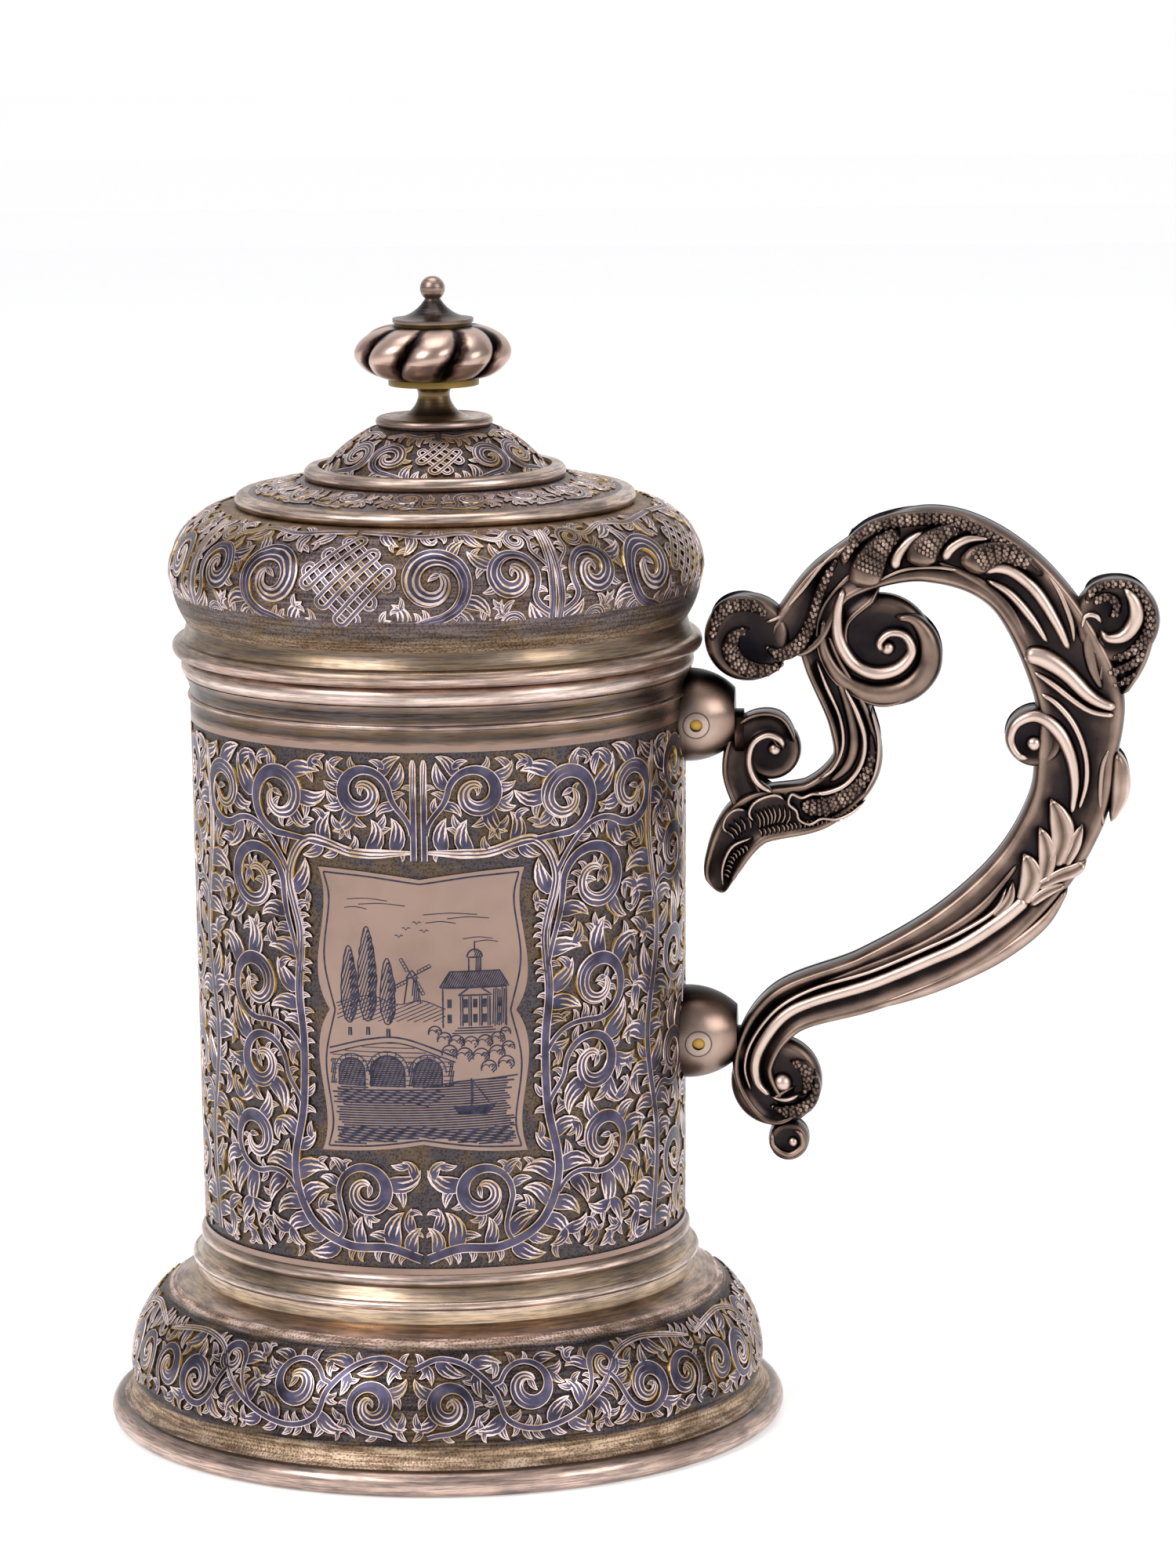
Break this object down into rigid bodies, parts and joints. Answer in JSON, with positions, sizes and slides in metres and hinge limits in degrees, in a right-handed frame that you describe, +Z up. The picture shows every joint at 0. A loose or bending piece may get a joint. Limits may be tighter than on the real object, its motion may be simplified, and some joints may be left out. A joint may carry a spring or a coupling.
{
  "type": "lidded tankard",
  "caption": "Tall lidded silver tankard on a spreading foot, with a lift-off domed lid, a lobed finial and a scrolled side handle.",
  "frame": {"origin": "centre of the circle that the foot stands on", "axes": "+Z up along the drum's axis; +X towards the handle; the cartouche faces -Y"},
  "size_m": [0.1837, 0.1182, 0.2],
  "materials": {
    "silver": "aged polished silver",
    "chased_silver": "chased, parcel-gilt silver with niello",
    "silver_gilt": "worn gilding on silver",
    "handle_silver": "oxidised silver, bright on its ridges",
    "brass": "filed brass"
  },
  "bodies": {
    "tankard": {"foot_wire": "silver", "foot_skirt": "chased_silver", "plinth_moulding": "silver_gilt", "drum": "chased_silver", "drum_floor": "silver_gilt", "mouth_moulding": "silver", "mouth_lip": "silver", "upper_socket": "silver", "lower_socket": "silver", "upper_collar": "silver", "lower_collar": "silver", "upper_tongue": "handle_silver", "lower_tongue": "handle_silver", "upper_pin": "brass", "lower_pin": "brass", "handle_half_near": "handle_silver", "handle_half_far": "handle_silver"},
    "lid": {"lid_bezel": "silver_gilt", "lid_rim": "silver", "lid_bowl": "chased_silver", "crown_wire": "silver", "lid_terrace": "chased_silver", "dome_wire": "silver", "lid_dome": "chased_silver", "finial_foot": "silver_gilt", "finial_lower_washer": "silver_gilt", "finial_bulb_lower": "silver", "finial_bulb_upper": "silver", "finial_upper_washer": "silver_gilt", "finial_cap": "silver", "finial_stud": "silver", "finial_nut_washer": "silver", "finial_nut": "brass"}
  },
  "joints": [
    {"name": "lid_lift", "type": "slide", "parent": "tankard", "child": "lid", "axis": [0, 0, 1], "range_m": [0, 0.06]}
  ]
}
